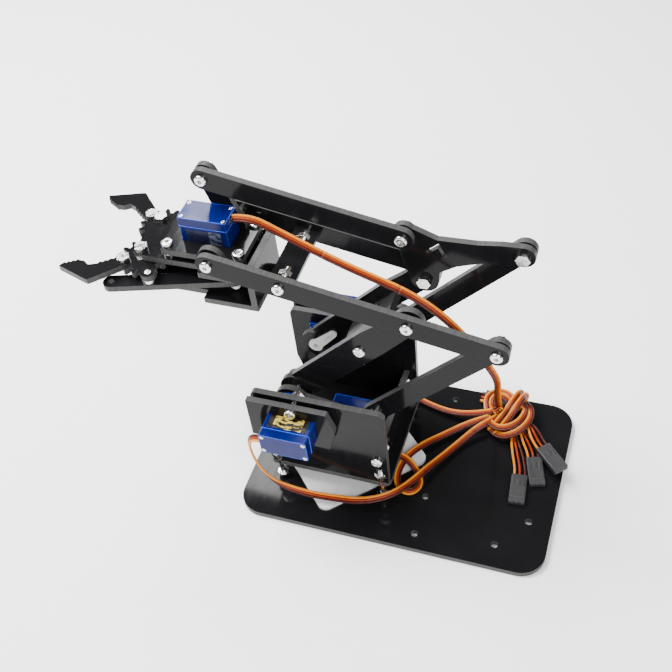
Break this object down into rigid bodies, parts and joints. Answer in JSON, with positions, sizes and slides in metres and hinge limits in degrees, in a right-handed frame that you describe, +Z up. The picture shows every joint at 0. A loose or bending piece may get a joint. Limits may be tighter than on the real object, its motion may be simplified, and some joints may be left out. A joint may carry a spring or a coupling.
{
  "type": "desktop robot arm kit",
  "caption": "Desktop robot arm of black acrylic plates with hobby servos, level-keeping parallel links, a geared claw gripper and a turning base.",
  "frame": {"origin": "on the base plate's underside, under the turning axis", "axes": "+X the way the arm reaches, +Y its left side, +Z up"},
  "size_m": [0.231, 0.1, 0.1623],
  "materials": {
    "black_acrylic": "gloss",
    "servo_case": "translucent gloss",
    "white_nylon": "satin",
    "fastener_steel": "bright plated",
    "bare_metal": "bright",
    "lead_insulation": "satin",
    "plug_plastic": "matte"
  },
  "bodies": {
    "base": {"base_plate": "black_acrylic", "swivel_plate": "bare_metal", "yaw_horn": "white_nylon", "yaw_servo_shaft": "white_nylon", "lead_knot": "lead_insulation", "lead_plugs": "plug_plastic", "lead_left": "lead_insulation", "lead_right": "lead_insulation", "lead_yaw": "lead_insulation", "lead_gripper_5": "lead_insulation"},
    "turntable": {"deck": "black_acrylic", "side_plate_left": "black_acrylic", "side_plate_right": "black_acrylic", "rear_cross_plate": "black_acrylic", "shoulder_bracket": "black_acrylic", "servo_collar_left": "black_acrylic", "servo_collar_right": "black_acrylic", "yaw_servo_case": "servo_case", "left_servo_case": "servo_case", "right_servo_case": "servo_case", "turntable_fasteners": "fastener_steel", "lead_gripper_4": "lead_insulation"},
    "upper_arm": {"upper_arm_left": "black_acrylic", "upper_arm_right": "black_acrylic", "upper_arm_brace": "black_acrylic", "upper_arm_fasteners": "fastener_steel", "right_servo_horn": "white_nylon", "right_servo_shaft": "white_nylon", "lead_gripper_3": "lead_insulation"},
    "elbow_lever": {"elbow_lever": "black_acrylic", "left_servo_horn": "white_nylon", "left_servo_shaft": "white_nylon"},
    "elbow_link_pivot": {"elbow_link_pivot": "fastener_steel"},
    "elbow_link": {"elbow_link": "black_acrylic"},
    "level_triangle": {"level_triangle": "black_acrylic", "level_triangle_fasteners": "fastener_steel"},
    "rear_level_link": {"rear_level_link": "black_acrylic"},
    "front_level_link": {"front_level_link": "black_acrylic"},
    "forearm": {"forearm_left": "black_acrylic", "forearm_right": "black_acrylic", "forearm_crossbar": "black_acrylic", "forearm_fasteners": "fastener_steel", "lead_gripper_1": "lead_insulation", "lead_gripper_2": "lead_insulation"},
    "gripper": {"gripper_plate": "black_acrylic", "gripper_collar": "black_acrylic", "gripper_rear_wall": "black_acrylic", "gripper_ear_left": "black_acrylic", "gripper_ear_right": "black_acrylic", "gripper_lower_plate": "black_acrylic", "gripper_servo_case": "servo_case", "gripper_fasteners": "fastener_steel"},
    "gripper_crank": {"gripper_horn": "white_nylon", "gripper_servo_shaft": "white_nylon"},
    "claw_drive_link": {"claw_drive_link": "black_acrylic", "claw_link_screws": "fastener_steel"},
    "claw_left": {"claw_left": "black_acrylic", "claw_screw_left": "fastener_steel"},
    "claw_right": {"claw_right": "black_acrylic", "claw_screw_right": "fastener_steel"}
  },
  "joints": [
    {"name": "yaw", "type": "hinge", "parent": "base", "child": "turntable", "pos_m": [0, 0, 0], "axis": [0, 0, 1], "range_deg": [-90, 90], "deforming": ["lead_left", "lead_right", "lead_yaw", "lead_gripper_5"]},
    {"name": "shoulder", "type": "hinge", "parent": "turntable", "child": "upper_arm", "pos_m": [0.0178, 0, 0.0558], "axis": [0, 1, 0], "range_deg": [-3, 55], "deforming": ["lead_gripper_3", "lead_gripper_4"]},
    {"name": "elbow", "type": "hinge", "parent": "level_triangle", "child": "forearm", "pos_m": [-0.03947, 0, 0.1149], "axis": [0, 1, 0], "range_deg": [-14, 22], "deforming": ["lead_gripper_1", "lead_gripper_2"]},
    {"name": "gripper", "type": "hinge", "parent": "gripper", "child": "claw_left", "pos_m": [0.0859, 0.0025, 0.1185], "axis": [0, 0, 1], "range_deg": [-35, 15]},
    {"name": "rear_level_pivot", "type": "hinge", "parent": "turntable", "child": "rear_level_link", "pos_m": [-0.0237, 0, 0.077], "axis": [0, 1, 0], "range_deg": [-3, 55]},
    {"name": "level_pivot", "type": "hinge", "parent": "upper_arm", "child": "level_triangle", "pos_m": [-0.03947, 0, 0.1149], "axis": [0, 1, 0], "range_deg": [-55, 3]},
    {"name": "lever_pivot", "type": "hinge", "parent": "turntable", "child": "elbow_lever", "pos_m": [0.0178, 0, 0.0558], "axis": [0, 1, 0], "range_deg": [-14, 22]},
    {"name": "link_lower_pivot", "type": "hinge", "parent": "elbow_lever", "child": "elbow_link_pivot", "pos_m": [-0.01973, 0, 0.04816], "axis": [0, 1, 0], "range_deg": [-22, 14]},
    {"name": "link_swing", "type": "hinge", "parent": "elbow_link_pivot", "child": "elbow_link", "pos_m": [-0.01973, 0, 0.04816], "axis": [0, 1, 0], "range_deg": [-3, 55]},
    {"name": "front_level_pivot", "type": "hinge", "parent": "level_triangle", "child": "front_level_link", "pos_m": [-0.03127, 0, 0.1397], "axis": [0, 1, 0], "range_deg": [-14, 22]},
    {"name": "wrist", "type": "hinge", "parent": "forearm", "child": "gripper", "pos_m": [0.04715, 0, 0.13253], "axis": [0, 1, 0], "range_deg": [-22, 14]},
    {"name": "claw_right_pivot", "type": "hinge", "parent": "gripper", "child": "claw_right", "pos_m": [0.0859, -0.0185, 0.1185], "axis": [0, 0, 1], "range_deg": [-15, 35]},
    {"name": "crank_pivot", "type": "hinge", "parent": "gripper", "child": "gripper_crank", "pos_m": [0.0494, -0.008, 0.113], "axis": [0, 0, 1], "range_deg": [-35, 15]},
    {"name": "drive_link_pivot", "type": "hinge", "parent": "gripper_crank", "child": "claw_drive_link", "pos_m": [0.043, 0.0015, 0.113], "axis": [0, 0, 1], "range_deg": [-15, 35]}
  ],
  "couplings": [
    {"joint": "rear_level_pivot", "follows": "shoulder", "ratio": 1},
    {"joint": "level_pivot", "follows": "shoulder", "ratio": -1},
    {"joint": "link_swing", "follows": "shoulder", "ratio": 1},
    {"joint": "lever_pivot", "follows": "elbow", "ratio": 1},
    {"joint": "link_lower_pivot", "follows": "elbow", "ratio": -1},
    {"joint": "front_level_pivot", "follows": "elbow", "ratio": 1},
    {"joint": "wrist", "follows": "elbow", "ratio": -1},
    {"joint": "claw_right_pivot", "follows": "gripper", "ratio": -1},
    {"joint": "crank_pivot", "follows": "gripper", "ratio": 1},
    {"joint": "drive_link_pivot", "follows": "gripper", "ratio": -1}
  ]
}
